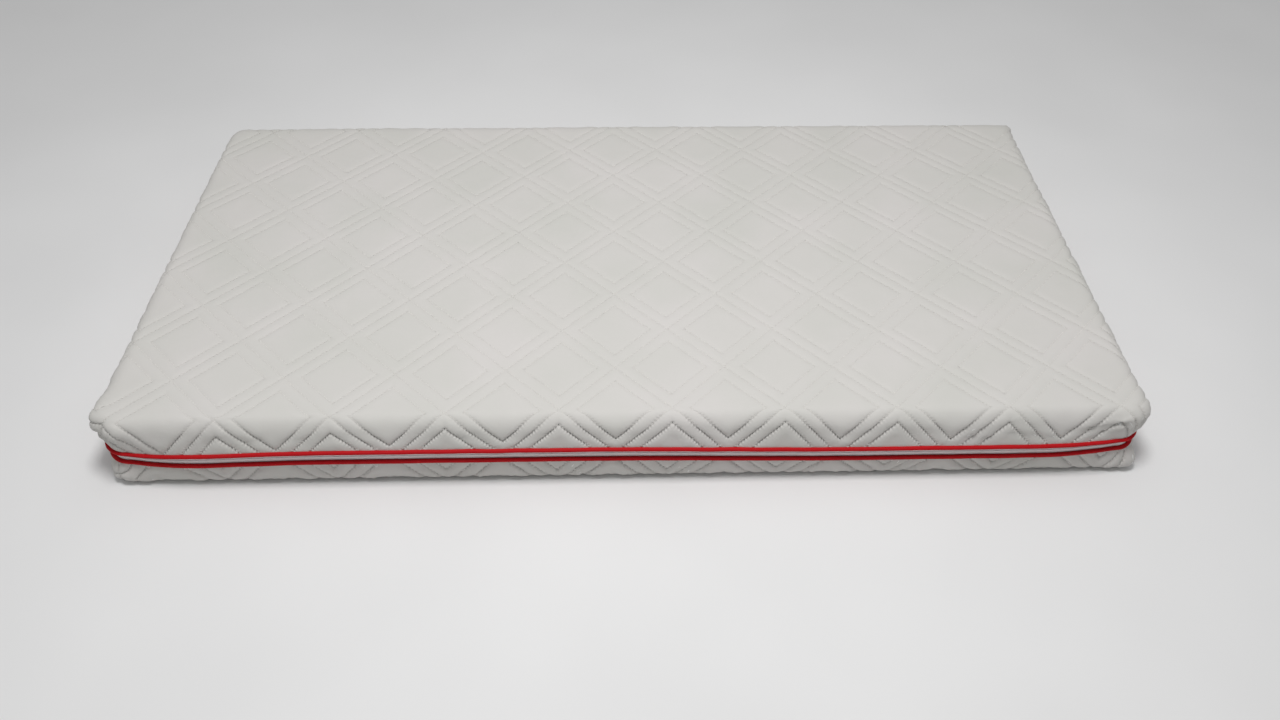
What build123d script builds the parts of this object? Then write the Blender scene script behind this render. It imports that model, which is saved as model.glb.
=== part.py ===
# Zip-off quilted cover on a two-layer pressure relief foam core, in millimetres.
#
# Frame: the origin is the middle of the underside, +X runs along the length, +Y points at the long side
# that carries the zip slider, and +Z points up. "Depth" below is a distance inwards from the outermost
# surface of the cover, so one depth means the same shell on every side.
from build123d import *
import os

# Whole mattress
LENGTH = 1200.0
WIDTH = 600.0
HEIGHT = 100.0
CORNER_RADIUS = 30.0  # of the plan outline
TOP_EDGE_RADIUS = 15.0
BOTTOM_EDGE_RADIUS = 12.0

# Quilted cover: face cloth, wadding and backing, from the outside in
FACE_CLOTH = 1.0
WADDING = 4.4
BACKING = 0.6
BACKING_DEPTH = FACE_CLOTH + WADDING
COVER_THICKNESS = BACKING_DEPTH + BACKING

# Zip band: piping beads above and below, zip tapes between them
BAND_HEIGHT = 45.0  # of the line where the two zip tapes meet
PIPING_SPACING = 16.0  # between the centres of the two beads
BEAD_RADIUS = 2.3
BEAD_BORE_RADIUS = 1.5
PIPING_CORD_RADIUS = 1.4
PIPING_FLANGE = 0.7
SEAM_ALLOWANCE = 12.0  # how far the flange and the zip tape reach in behind the cover's edge
EDGE_GAP = 0.1  # between a bead and the cut edge of the cover
ZIP_TAPE = 0.8
TAPE_GAP = 1.0  # between the two tapes
COIL_WIDTH = 2.0
COIL_THICKNESS = 1.6
BEAD_DEPTH = BEAD_RADIUS
TAPE_DEPTH = 2 * BEAD_RADIUS
COIL_DEPTH = TAPE_DEPTH + ZIP_TAPE

# The ends of the zip meet on the +Y side
ZIP_END_X = 513.0
ZIP_START_X = 517.0
TOP_STOP_LENGTH = 3.0
TOP_STOP_SETBACK = 4.0  # from the end of the tape to the near end of the stop
BOTTOM_FITTING_LENGTH = 8.0
CLIP_WALL = 0.4
CLIP_CLEARANCE = 0.15  # from the clip's folded edge to the middle of the gap
END_TAB_LENGTH = 38.0
END_TAB_THICKNESS = 0.6
END_TAB_HEM = 2.5
END_TAB_STANDOFF = 0.8  # from the zip tapes, so that the upper one lifts off freely

# Slider, parked beside the zip's closed end
SLIDER_X = 480.0
SLIDER_LENGTH = 12.0
SLIDER_NOSE_WIDTH = 9.0
SLIDER_TAIL_WIDTH = 7.0
SLIDER_PLATE = 1.2
SLIDER_CLEARANCE = 0.3
SLIDER_POST_WIDTH = TAPE_GAP - 2 * SLIDER_CLEARANCE
SLIDER_POST_LENGTH = 8.0
BAIL_SPAN = 8.0
BAIL_WIDTH = 1.4
BAIL_THICKNESS = 0.8
BAIL_HEIGHT = 2.5

# Pull, lying flat along the zip towards -X
PULL_LENGTH = 26.0
PULL_WIDTH = 7.0
PULL_THICKNESS = 1.0
PULL_ARM_WIDTH = 1.4
PULL_EYE_LENGTH = 7.0
PULL_BAR_RADIUS = 0.5
PULL_BAR_DEPTH = 2.25

# Foam core in its knitted liner
CORE_SIDE_CLEARANCE = 3.0
CORE_FACE_CLEARANCE = 0.3
CORE_TOP_EDGE_RADIUS = 8.0
CORE_BOTTOM_EDGE_RADIUS = 6.0
LINER = 0.8
FOAM_CLEARANCE = 0.2
COMFORT_LAYER = 30.0
CUT_WIDTH = 3.0
CUT_DEPTH = 15.0
CUTS_ACROSS_LENGTH = 15
CUTS_ACROSS_WIDTH = 7

BIG = 2 * LENGTH  # larger than the mattress, for trimming


def rounded_prism(depth, bottom, top):
    """The plan outline at a depth, extruded from one height to another."""
    outline = RectangleRounded(LENGTH - 2 * depth, WIDTH - 2 * depth, CORNER_RADIUS - depth)
    return Pos(0, 0, bottom) * extrude(outline, amount=top - bottom)


def pillow(depth, bottom, top, bottom_radius, top_radius):
    """A rounded prism with its lower and upper edges rounded too."""
    body = rounded_prism(depth, bottom, top)
    body = fillet(body.edges().group_by(Axis.Z)[-1], top_radius)
    return fillet(body.edges().group_by(Axis.Z)[0], bottom_radius)


def cover_surface(depth):
    """Everything inside the cover's surface at a depth."""
    return pillow(depth, depth, HEIGHT - depth, BOTTOM_EDGE_RADIUS - depth, TOP_EDGE_RADIUS - depth)


def cover_layer(outer_depth, inner_depth):
    return cover_surface(outer_depth) - cover_surface(inner_depth)


def wall_ring(outer_depth, inner_depth, bottom, top):
    """A ring with upright walls, between two depths and two heights."""
    return rounded_prism(outer_depth, bottom, top) - rounded_prism(inner_depth, bottom - 1, top + 1)


def slab(bottom, top):
    """All space between two heights."""
    return Pos(0, 0, (bottom + top) / 2) * Box(BIG, BIG, top - bottom)


def back_block(x_low, x_high, outer_depth, inner_depth, bottom, top):
    """A box in the +Y wall, between two depths."""
    middle = Pos((x_low + x_high) / 2, WIDTH / 2 - (outer_depth + inner_depth) / 2, (bottom + top) / 2)
    return middle * Box(x_high - x_low, inner_depth - outer_depth, top - bottom)


class CoverHalf:
    """One half of the cover: side is 1 above the zip and -1 below it."""

    def __init__(self, name, side):
        self.name = name
        self.side = side
        self.bead_height = BAND_HEIGHT + side * PIPING_SPACING / 2
        self.edge = self.bead_height + side * (BEAD_RADIUS + EDGE_GAP)
        self.seam_end = self.edge + side * SEAM_ALLOWANCE
        self.tape_edge = BAND_HEIGHT + side * TAPE_GAP / 2

    def span(self, start, end):
        """Two heights in rising order."""
        return min(start, end), max(start, end)

    def trimmed(self, layer):
        """The part of a cover layer on this side of the cut edge."""
        return layer & slab(*self.span(self.edge, self.edge + self.side * BIG))

    def face_cloth(self):
        return self.trimmed(cover_layer(0, FACE_CLOTH))

    def wadding(self):
        """Full thickness, except where the sewn edge squeezes it over the flange and the zip tape."""
        flange_depth = TAPE_DEPTH - PIPING_FLANGE
        beyond_edge = self.edge - self.side
        squeezed = wall_ring(flange_depth, BACKING_DEPTH, *self.span(beyond_edge, self.seam_end))
        return self.trimmed(cover_layer(FACE_CLOTH, BACKING_DEPTH)) - squeezed

    def backing(self):
        return self.trimmed(cover_layer(BACKING_DEPTH, COVER_THICKNESS))

    def bead(self, radius):
        """A round bar of a given radius, all the way round at the piping's centre line."""
        path = RectangleRounded(
            LENGTH - 2 * BEAD_DEPTH, WIDTH - 2 * BEAD_DEPTH, CORNER_RADIUS - BEAD_DEPTH
        ).wire()
        section = Plane(path @ 0, z_dir=path % 0) * Circle(radius)
        return Pos(0, 0, self.bead_height) * sweep(section, path=path)

    def piping_tape(self):
        """Woven strip folded round the piping cord, with its flange caught in the seam."""
        heights = self.span(self.bead_height, self.seam_end)
        flange = wall_ring(TAPE_DEPTH - PIPING_FLANGE, TAPE_DEPTH, *heights)
        return self.bead(BEAD_RADIUS) + flange - self.bead(BEAD_BORE_RADIUS)

    def piping_cord(self):
        return self.bead(PIPING_CORD_RADIUS)

    def zip_tape(self):
        ring = wall_ring(TAPE_DEPTH, COIL_DEPTH, *self.span(self.tape_edge, self.seam_end))
        opening = back_block(ZIP_END_X, ZIP_START_X, 0, COVER_THICKNESS, 0, HEIGHT)
        return ring - opening

    def zip_coil(self):
        """The zip's teeth, as a strip on the inner face of the tape."""
        heights = self.span(self.tape_edge, self.tape_edge + self.side * COIL_WIDTH)
        ring = wall_ring(COIL_DEPTH, COIL_DEPTH + COIL_THICKNESS, *heights)
        coil_end = ZIP_END_X - TOP_STOP_SETBACK - TOP_STOP_LENGTH
        coil_start = ZIP_START_X + BOTTOM_FITTING_LENGTH
        return ring - back_block(coil_end, coil_start, 0, 2 * COVER_THICKNESS, 0, HEIGHT)

    def clip(self, x_low, x_high):
        """Metal folded over the edge of the zip tape, as thick as the coil on the inner side."""
        fold = BAND_HEIGHT + self.side * CLIP_CLEARANCE
        heights = self.span(fold, self.tape_edge + self.side * COIL_WIDTH)
        block = back_block(x_low, x_high, TAPE_DEPTH - CLIP_WALL, COIL_DEPTH + COIL_THICKNESS, *heights)
        return block - self.zip_tape()

    def top_stop(self):
        x_high = ZIP_END_X - TOP_STOP_SETBACK
        return self.clip(x_high - TOP_STOP_LENGTH, x_high)

    def bottom_fitting(self):
        """Insertion pin on the upper half, and the retainer that it plugs into on the lower half."""
        return self.clip(ZIP_START_X, ZIP_START_X + BOTTOM_FITTING_LENGTH)

    def nodes(self, bottom_fitting_name):
        return {
            f"{self.name}_cover_face_cloth": self.face_cloth(),
            f"{self.name}_cover_wadding": self.wadding(),
            f"{self.name}_cover_backing": self.backing(),
            f"{self.name}_piping_tape": self.piping_tape(),
            f"{self.name}_piping_cord": self.piping_cord(),
            f"{self.name}_zip_tape": self.zip_tape(),
            f"{self.name}_zip_coil": self.zip_coil(),
            f"{self.name}_top_stop": self.top_stop(),
            bottom_fitting_name: self.bottom_fitting(),
        }


def zip_end_tab():
    """Cloth tab over the zip's two ends. Its hem is sewn to the lower tape and it stands off the upper."""
    half_width = PIPING_SPACING / 2 - BEAD_RADIUS - 0.5
    x_high = ZIP_START_X + BOTTOM_FITTING_LENGTH + 5
    x_low = x_high - END_TAB_LENGTH
    back_depth = TAPE_DEPTH - END_TAB_STANDOFF
    front_depth = back_depth - END_TAB_THICKNESS
    low = BAND_HEIGHT - half_width
    face = back_block(x_low, x_high, front_depth, back_depth, low, BAND_HEIGHT + half_width)
    hem = back_block(x_low, x_high, back_depth, TAPE_DEPTH, low, low + END_TAB_HEM)
    return face + hem


def slider_plate(outer_depth):
    """One plate of the slider: wide at the nose, narrower at the tail, with rounded corners."""
    half = SLIDER_LENGTH / 2
    nose = SLIDER_NOSE_WIDTH / 2
    tail = SLIDER_TAIL_WIDTH / 2
    outline = Polygon((half, -nose), (half, nose), (-half, tail), (-half, -tail), align=None)
    outline = fillet(outline.vertices(), 2.0)
    wall = Plane(
        origin=(SLIDER_X, WIDTH / 2 - outer_depth, BAND_HEIGHT), x_dir=(1, 0, 0), z_dir=(0, -1, 0)
    )
    return extrude(wall * outline, amount=SLIDER_PLATE)


def slider_outer_depth():
    """Depth of the slider's outer face."""
    return TAPE_DEPTH - SLIDER_CLEARANCE - SLIDER_PLATE


def zip_slider_body():
    """Two plates, one each side of the tapes, joined by a post in the gap between the tapes."""
    inner_plate_depth = COIL_DEPTH + COIL_THICKNESS + SLIDER_CLEARANCE
    half_post = SLIDER_POST_LENGTH / 2
    post = back_block(
        SLIDER_X - half_post,
        SLIDER_X + half_post,
        slider_outer_depth() + SLIDER_PLATE,
        inner_plate_depth,
        BAND_HEIGHT - SLIDER_POST_WIDTH / 2,
        BAND_HEIGHT + SLIDER_POST_WIDTH / 2,
    )
    return slider_plate(slider_outer_depth()) + post + slider_plate(inner_plate_depth)


def zip_slider_bail():
    """Arch on the outer plate that the pull hangs from."""
    foot = slider_outer_depth()
    low = BAND_HEIGHT - BAIL_WIDTH / 2
    high = BAND_HEIGHT + BAIL_WIDTH / 2
    half = BAIL_SPAN / 2
    arch = back_block(SLIDER_X - half, SLIDER_X + half, foot - BAIL_HEIGHT, foot, low, high)
    arch = fillet(arch.edges().filter_by(Axis.Z).group_by(Axis.Y)[-1], 1.2)
    inner_half = half - BAIL_THICKNESS
    inner_top = foot - BAIL_HEIGHT + BAIL_THICKNESS
    return arch - back_block(SLIDER_X - inner_half, SLIDER_X + inner_half, inner_top, foot, low, high)


def zip_pull_tab():
    """Flat tab with an eye at its head. The bar across the eye turns under the slider's bail."""
    half_width = PULL_WIDTH / 2
    head = SLIDER_X
    outer = PULL_BAR_DEPTH - PULL_THICKNESS / 2
    inner = PULL_BAR_DEPTH + PULL_THICKNESS / 2
    tab = back_block(head - PULL_LENGTH, head, outer, inner, BAND_HEIGHT - half_width, BAND_HEIGHT + half_width)
    tab = fillet(tab.edges().filter_by(Axis.Y).group_by(Axis.X)[0], 2.5)
    eye_half_width = half_width - PULL_ARM_WIDTH
    eye = back_block(
        head - PULL_EYE_LENGTH, head + 1, outer, inner, BAND_HEIGHT - eye_half_width, BAND_HEIGHT + eye_half_width
    )
    bar_centre = Pos(head, WIDTH / 2 - PULL_BAR_DEPTH, BAND_HEIGHT)
    return tab - eye + bar_centre * Cylinder(PULL_BAR_RADIUS, PULL_WIDTH)


def core_shape(inset):
    """Outer form of the core, drawn in by an inset on every side."""
    return pillow(
        COVER_THICKNESS + CORE_SIDE_CLEARANCE + inset,
        COVER_THICKNESS + CORE_FACE_CLEARANCE + inset,
        HEIGHT - COVER_THICKNESS - CORE_FACE_CLEARANCE - inset,
        CORE_BOTTOM_EDGE_RADIUS - inset,
        CORE_TOP_EDGE_RADIUS - inset,
    )


def core_liner():
    return core_shape(0) - core_shape(LINER)


def foam(bottom, top):
    return core_shape(LINER + FOAM_CLEARANCE) & slab(bottom, top)


def relief_cuts(top):
    """Crossing slots in the comfort layer, which let each block of foam move by itself."""
    middle = top - CUT_DEPTH / 2
    along = LENGTH / (CUTS_ACROSS_LENGTH + 1)
    across = WIDTH / (CUTS_ACROSS_WIDTH + 1)
    slots = Part()
    for i in range(CUTS_ACROSS_LENGTH):
        slots += Pos(along * (i + 1) - LENGTH / 2, 0, middle) * Box(CUT_WIDTH, BIG, CUT_DEPTH)
    for j in range(CUTS_ACROSS_WIDTH):
        slots += Pos(0, across * (j + 1) - WIDTH / 2, middle) * Box(BIG, CUT_WIDTH, CUT_DEPTH)
    return slots


def core_nodes():
    foam_top = HEIGHT - COVER_THICKNESS - CORE_FACE_CLEARANCE - LINER - FOAM_CLEARANCE
    layer_line = foam_top - COMFORT_LAYER
    return {
        "core_liner": core_liner(),
        "comfort_foam_layer": foam(layer_line, HEIGHT) - relief_cuts(foam_top),
        "support_foam_layer": foam(0, layer_line),
    }


def slider_nodes():
    return {
        "zip_end_tab": zip_end_tab(),
        "zip_slider_body": zip_slider_body(),
        "zip_slider_bail": zip_slider_bail(),
        "zip_pull_tab": zip_pull_tab(),
    }


def build():
    nodes = CoverHalf("upper", 1).nodes("zip_insertion_pin")
    nodes.update(CoverHalf("lower", -1).nodes("zip_retainer"))
    nodes.update(core_nodes())
    nodes.update(slider_nodes())
    return nodes


os.makedirs("parts", exist_ok=True)
for node, shape in build().items():
    shape.label = node
    export_step(shape, f"parts/{node}.step")
    print(f"{node}: {shape.volume / 1000:.2f} cm3, {len(shape.solids())} solid(s)")
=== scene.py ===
import bpy
import math
import numpy as np
from mathutils import Euler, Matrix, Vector
from typing import NamedTuple


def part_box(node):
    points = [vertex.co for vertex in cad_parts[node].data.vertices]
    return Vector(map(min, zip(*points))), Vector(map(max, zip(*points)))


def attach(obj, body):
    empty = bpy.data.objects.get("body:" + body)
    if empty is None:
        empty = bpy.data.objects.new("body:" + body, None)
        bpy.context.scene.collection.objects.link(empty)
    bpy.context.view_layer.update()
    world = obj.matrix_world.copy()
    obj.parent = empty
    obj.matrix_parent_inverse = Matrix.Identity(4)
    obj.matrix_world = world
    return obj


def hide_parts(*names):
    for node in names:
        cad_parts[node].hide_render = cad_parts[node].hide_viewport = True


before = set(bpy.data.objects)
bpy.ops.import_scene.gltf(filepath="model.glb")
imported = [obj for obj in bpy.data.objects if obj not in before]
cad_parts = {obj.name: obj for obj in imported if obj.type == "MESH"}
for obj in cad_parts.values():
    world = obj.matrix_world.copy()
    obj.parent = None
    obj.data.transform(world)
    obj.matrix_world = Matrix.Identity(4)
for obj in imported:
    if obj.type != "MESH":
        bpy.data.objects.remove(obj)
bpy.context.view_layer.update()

MM = 0.001

# ---------------------------------------------------------------- driving dimensions, in metres
FACE_LOW, FACE_HIGH = (np.array(corner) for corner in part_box("upper_cover_face_cloth"))
LENGTH, WIDTH = (FACE_HIGH - FACE_LOW)[:2]
HEIGHT = FACE_HIGH[2]
CORNER_RADIUS = 30 * MM  # of the plan outline
HALF_X = LENGTH / 2 - CORNER_RADIUS  # the corner centres are at plus and minus these
HALF_Y = WIDTH / 2 - CORNER_RADIUS

# Quilting: a square lattice turned by 45 degrees, with a smaller square inside each diamond
HALF_PITCH = 63.9 * MM
LATTICE_X = -525.7 * MM  # one crossing of the stitch lines
LATTICE_Y = 294.1 * MM
CELL = math.sqrt(2) * HALF_PITCH  # side of one diamond
PUFF_HEIGHT = 2.0 * MM  # of the wadding over the stitches, before it is scaled for the place
WADDING_TOP = 0.8 * MM  # below the quilted surface
WADDING_BACK = 3.9 * MM  # below the smooth surface
LINING_DEPTH = 4.3 * MM
INNER = 14.7 * MM / CELL  # how far the inner square is from the diamond, as a share of its side
STITCH = 4.3 * MM  # from one stitch to the next
STITCH_SEEN = 2.9 * MM  # the length of thread in view
THREAD_RADIUS = 0.38 * MM
PUCKER_REACH = 1.5 * MM  # from a stitch line, over which the puckers fade
DIAMOND_STITCHES = round(CELL / STITCH)  # along one side
SQUARE_STITCHES = round(CELL * (1 - 2 * INNER) / STITCH)

# Zip band
TAPE_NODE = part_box("upper_zip_tape"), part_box("lower_zip_tape")
BAND_HEIGHT = (TAPE_NODE[0][0][2] + TAPE_NODE[1][1][2]) / 2
BEAD_OFFSET = 9 * MM  # from the middle of the band to each bead's centre
BEAD_RADIUS = 2.6 * MM
PIPING_CORE_RADIUS = 1.4 * MM
BEAD_DEPTH = 0.4 * MM  # of the bead's centre behind the line of the band
HEM_DEPTH = 1.6 * MM  # of the cover's hem, which is tucked in over the bead
TAPE_THICKNESS = 0.8 * MM
TAPE_GAP = 0.5 * MM
ZIP_END_X = 513 * MM
ZIP_START_X = 517 * MM
COIL_DEPTH = 0.7 * MM  # of the coil's middle behind the tape
COIL_RISE = 1.2 * MM  # from the tape's edge to the coil's middle
COIL_ENDS = 8 * MM, 7 * MM  # from each end of the tape to the coil
COIL_PITCH = 2.0 * MM
COIL_WIRE_RADIUS = 0.28 * MM
COIL_HALF_DEPTH = 0.46 * MM  # of the wire's centre line
COIL_HALF_HEIGHT = 0.72 * MM


# ---------------------------------------------------------------- small helpers
def smooth(low, high, value):
    """0 below low, 1 above high, and a smooth step between."""
    t = np.clip((value - low) / (high - low), 0, 1)
    return t * t * (3 - 2 * t)


def waves(x, y, wavelength, seed, count=14):
    """Smooth noise from -1 to 1, with bumps of about a wavelength."""
    rng = np.random.default_rng(seed)
    total = np.zeros_like(x)
    for _ in range(count):
        angle = rng.uniform(0, 2 * math.pi)
        number = 2 * math.pi / (wavelength * rng.uniform(0.7, 1.6))
        phase = rng.uniform(0, 2 * math.pi)
        total += np.sin(number * (x * math.cos(angle) + y * math.sin(angle)) + phase)
    return total / math.sqrt(count * 2)


def make_mesh(name, points, faces, smooth_shading=True):
    """A mesh object from an array of points and an array of quads or triangles."""
    mesh = bpy.data.meshes.new(name)
    faces = np.asarray(faces, dtype=np.int32)
    count, sides = faces.shape
    mesh.vertices.add(len(points))
    mesh.vertices.foreach_set("co", np.asarray(points, dtype=np.float32).ravel())
    mesh.loops.add(count * sides)
    mesh.loops.foreach_set("vertex_index", faces.ravel())
    mesh.polygons.add(count)
    mesh.polygons.foreach_set("loop_start", np.arange(0, count * sides, sides, dtype=np.int32))
    mesh.polygons.foreach_set("use_smooth", np.full(count, smooth_shading))
    mesh.update(calc_edges=True)
    mesh.validate()
    piece = bpy.data.objects.new(name, mesh)
    bpy.context.scene.collection.objects.link(piece)
    return piece


def store_cloth(piece, across, along):
    """Keeps each point's place on the flat cloth, for the material to read."""
    data = np.zeros((len(across), 3), dtype=np.float32)
    data[:, 0] = across
    data[:, 1] = along
    attribute = piece.data.attributes.new("cloth", "FLOAT_VECTOR", "POINT")
    attribute.data.foreach_set("vector", data.ravel())


def rim_edges(quads):
    """Edges that only one quad uses, in that quad's direction."""
    starts = quads.ravel()
    ends = np.roll(quads, -1, axis=1).ravel()
    keys = np.minimum(starts, ends) * (starts.max() + 1) + np.maximum(starts, ends)
    _, first, uses = np.unique(keys, return_index=True, return_counts=True)
    lone = first[uses == 1]
    return np.stack([starts[lone], ends[lone]], axis=1)


def rim_points(quads):
    return np.unique(rim_edges(quads))


def grid_quads(shape):
    """The quads between the points of a grid."""
    index = np.arange(shape[0] * shape[1]).reshape(shape)
    quads = np.stack([index[:-1, :-1], index[:-1, 1:], index[1:, 1:], index[1:, :-1]], axis=-1)
    return quads.reshape(-1, 4)


def keep_quads(quads, wanted):
    """The points that the wanted quads use, and those quads with their points renumbered."""
    used, quads = np.unique(quads[wanted], return_inverse=True)
    return used, quads.reshape(-1, 4)


def tube_quads(count, sides, joined):
    """Quads between successive rings of points, and from the last ring to the first if they are joined."""
    index = np.arange(count * sides).reshape(count, sides)
    here = index if joined else index[:-1]
    ahead = np.roll(index, -1, axis=0) if joined else index[1:]
    quads = np.stack([here, np.roll(here, -1, axis=1), np.roll(ahead, -1, axis=1), ahead], axis=-1)
    return quads.reshape(-1, 4)


def running_length(line):
    """Distance along a line of points, at each of them."""
    return np.concatenate([[0], np.cumsum(np.linalg.norm(np.diff(line, axis=0), axis=1))])


def unit(vectors):
    return vectors / np.linalg.norm(vectors, axis=1, keepdims=True)


# ---------------------------------------------------------------- quilting pattern
def lattice(x, y):
    """Lattice coordinates: diamond stitch lines run where either one is a whole number."""
    across = (x - LATTICE_X) / HALF_PITCH
    down = (LATTICE_Y - y + bow(x)) / HALF_PITCH
    return (across + down) / 2, (across - down) / 2


def from_lattice(p, q):
    x = LATTICE_X + HALF_PITCH * (p + q)
    return x, LATTICE_Y - HALF_PITCH * (p - q) + bow(x)


def bow(x):
    """The quilting runs a little askew: towards the front at both ends."""
    return (2 - 13 * smooth(0, -0.55, x) - 6 * smooth(0.05, 0.50, x)) * MM


def lattice_range(half_x, half_y):
    """Whole lattice numbers that cover a rectangle: the first and last of each coordinate."""
    p, q = lattice(np.array([-1, 1, -1, 1]) * half_x, np.array([-1, -1, 1, 1]) * half_y)
    return math.floor(p.min()), math.ceil(p.max()), math.floor(q.min()), math.ceil(q.max())


def repeated(marks, first, last):
    """The marks of one diamond, repeated from the first diamond up to the last."""
    return np.concatenate([np.array(marks) + i for i in range(first, last)])


def stitch_distance(x, y):
    """Distance to the nearest stitch line, in metres."""
    p, q = lattice(x, y)
    fp = np.abs(p - np.floor(p) - 0.5)
    fq = np.abs(q - np.floor(q) - 0.5)
    larger = np.maximum(fp, fq)
    to_diamond = 0.5 - larger
    to_square = np.abs(larger - (0.5 - INNER))
    return CELL * np.minimum(to_diamond, to_square)


def puff(x, y, full_at=7.2 * MM, roundness=1.0):
    """How full the wadding is: 0 at a stitch, 1 between stitches. A round puff is steep at the stitch."""
    t = np.clip(stitch_distance(x, y) / full_at, 0, 1)
    return roundness * np.sqrt(1 - (1 - t) ** 2) + (1 - roundness) * t * (2 - t)


class Quilt:
    """The quilted cloth, relaxed by a cloth simulation that holds it at every stitch line."""

    STEPS = [0, INNER / 4, INNER / 2, INNER * 3 / 4, INNER, 0.205, 0.255, 0.31, 0.37, 0.435, 0.5]
    FRAMES = 16
    REACH = 74 * MM  # of the cloth past the corner centres

    def __init__(self):
        marks = self.STEPS + [1 - step for step in self.STEPS[-2:0:-1]]
        p_first, p_last, q_first, q_last = lattice_range(HALF_X + self.REACH, HALF_Y + self.REACH)
        self.rows = repeated(marks, p_first, p_last)
        self.columns = repeated(marks, q_first, q_last)
        self.lift = np.zeros((len(self.rows), len(self.columns)))
        self.simulate()

    def simulate(self):
        """Slightly too much cloth between the stitches buckles and puckers, as quilted cloth does."""
        grid_p, grid_q = np.meshgrid(self.rows, self.columns, indexing="ij")
        x, y = from_lattice(grid_p.ravel(), grid_q.ravel())
        quads = grid_quads(grid_p.shape)
        inside = np.abs(x[quads].mean(axis=1)) < HALF_X + self.REACH
        inside &= np.abs(y[quads].mean(axis=1)) < HALF_Y + self.REACH
        used, quads = keep_quads(quads, inside)
        x, y = x[used], y[used]
        distance = stitch_distance(x, y)
        rest = PUFF_HEIGHT * puff(x, y)
        uneven = np.random.default_rng(7).normal(0, 0.05 * MM, len(x)) * (distance > 1 * MM)
        cloth = make_mesh("quilting_trial", np.stack([x, y, rest + uneven], axis=1), quads)
        held = distance < 0.3 * MM
        held[rim_points(quads)] = True
        pins = cloth.vertex_groups.new(name="stitched")
        pins.add(np.nonzero(held)[0].tolist(), 1.0, "REPLACE")
        pins.add(np.nonzero(~held)[0].tolist(), 0.33, "REPLACE")
        self.set_up_cloth(cloth)
        for number in range(1, self.FRAMES + 1):
            bpy.context.scene.frame_set(number)
        relaxed = cloth.evaluated_get(bpy.context.evaluated_depsgraph_get())
        points = np.empty(len(x) * 3, dtype=np.float32)
        relaxed.data.vertices.foreach_get("co", points)
        bpy.context.scene.frame_set(1)
        self.lift.ravel()[used] = (points.reshape(-1, 3)[:, 2] - rest) / PUFF_HEIGHT
        mesh = cloth.data
        bpy.data.objects.remove(cloth)
        bpy.data.meshes.remove(mesh)

    def set_up_cloth(self, cloth):
        modifier = cloth.modifiers.new("cloth", "CLOTH")
        settings = modifier.settings
        settings.quality = 5
        settings.mass = 0.3
        settings.air_damping = 2
        settings.tension_stiffness = 20
        settings.compression_stiffness = 20
        settings.shear_stiffness = 7
        settings.bending_stiffness = 28
        settings.shrink_min = -0.02
        settings.effector_weights.gravity = 0
        settings.vertex_group_mass = "stitched"
        settings.pin_stiffness = 1
        modifier.collision_settings.use_collision = False
        modifier.point_cache.frame_start = 1
        modifier.point_cache.frame_end = self.FRAMES

    def ripple(self, x, y, turned):
        """What the simulation adds to the even puff. Turned reads it from the far end."""
        p, q = lattice(x, y)
        if turned:
            p, q = self.turn(p, self.rows), self.turn(q, self.columns)
        row = np.interp(p, self.rows, np.arange(len(self.rows)))
        column = np.interp(q, self.columns, np.arange(len(self.columns)))
        r = np.minimum(row.astype(int), len(self.rows) - 2)
        c = np.minimum(column.astype(int), len(self.columns) - 2)
        down, along = row - r, column - c
        near = self.lift[r, c] * (1 - along) + self.lift[r, c + 1] * along
        far = self.lift[r + 1, c] * (1 - along) + self.lift[r + 1, c + 1] * along
        return near * (1 - down) + far * down

    @staticmethod
    def turn(value, marks):
        return math.floor(marks[0]) + math.ceil(marks[-1]) - value


# ---------------------------------------------------------------- shape of the mattress
class Corner(NamedTuple):
    direction: tuple  # signs of x and y
    ear: float  # how far the upper cloth bulges out beside it on the short side
    upper_square: float  # how square the upper cloth is in plan: 0 is round and 1 is square
    lower_square: float
    inset: float  # how far the zip band is drawn in


FRONT_LEFT = Corner((-1, -1), ear=6.0 * MM, upper_square=-0.55, lower_square=0.28, inset=5.0 * MM)
FRONT_RIGHT = Corner((1, -1), ear=3.0 * MM, upper_square=0.00, lower_square=0.70, inset=4.0 * MM)
BACK_LEFT = Corner((-1, 1), ear=-1.0 * MM, upper_square=-0.30, lower_square=0.10, inset=1.0 * MM)
BACK_RIGHT = Corner((1, 1), ear=1.0 * MM, upper_square=1.30, lower_square=0.40, inset=1.0 * MM)
CORNERS = (FRONT_LEFT, FRONT_RIGHT, BACK_LEFT, BACK_RIGHT)

# How far from a corner each of its settings fades away
PINCH_SPREAD = 40 * MM
INSET_SPREAD = 45 * MM
EAR_SPREAD = 26 * MM
SQUARE_SPREAD = 60 * MM
GATHER_SPREAD = 70 * MM

# Height of the zip along the front, against the back
FRONT_RISE = 4.5 * MM
LEFT_END_DIP = 4.8 * MM
RIGHT_HALF_DIP = 5.5 * MM
RIGHT_END_RISE = 3.0 * MM

FRONT_LEAN = 5.5 * MM  # how far the cloth leans out from its plain outline to the middle of the band
LEAN_OVER_BAND = 0.6 * MM  # how much more it leans at the upper bead, and less at the lower
END_SLANT = 4.8 * MM  # how far the left end is out at the front, and in at the back
SIDE_BULGE = 4.2 * MM
FRONT_DENT = 5.0 * MM  # how hollow the upper front is between its rounded edge and the zip


def plan(x, y):
    """Splits flat points into the nearest point of the inner rectangle, a direction and a distance."""
    cx = np.clip(x, -HALF_X, HALF_X)
    cy = np.clip(y, -HALF_Y, HALF_Y)
    dx, dy = x - cx, y - cy
    reach = np.hypot(dx, dy)
    safe = np.maximum(reach, 1e-9)
    return cx, cy, dx / safe, dy / safe, reach


def near_corner(x, y, sign, spread):
    """1 at a corner, falling off along the sides and over the top."""
    ahead_x = np.maximum(0, HALF_X - sign[0] * x)
    ahead_y = np.maximum(0, HALF_Y - sign[1] * y)
    return np.exp(-(ahead_x**2 + ahead_y**2) / spread**2)


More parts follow.
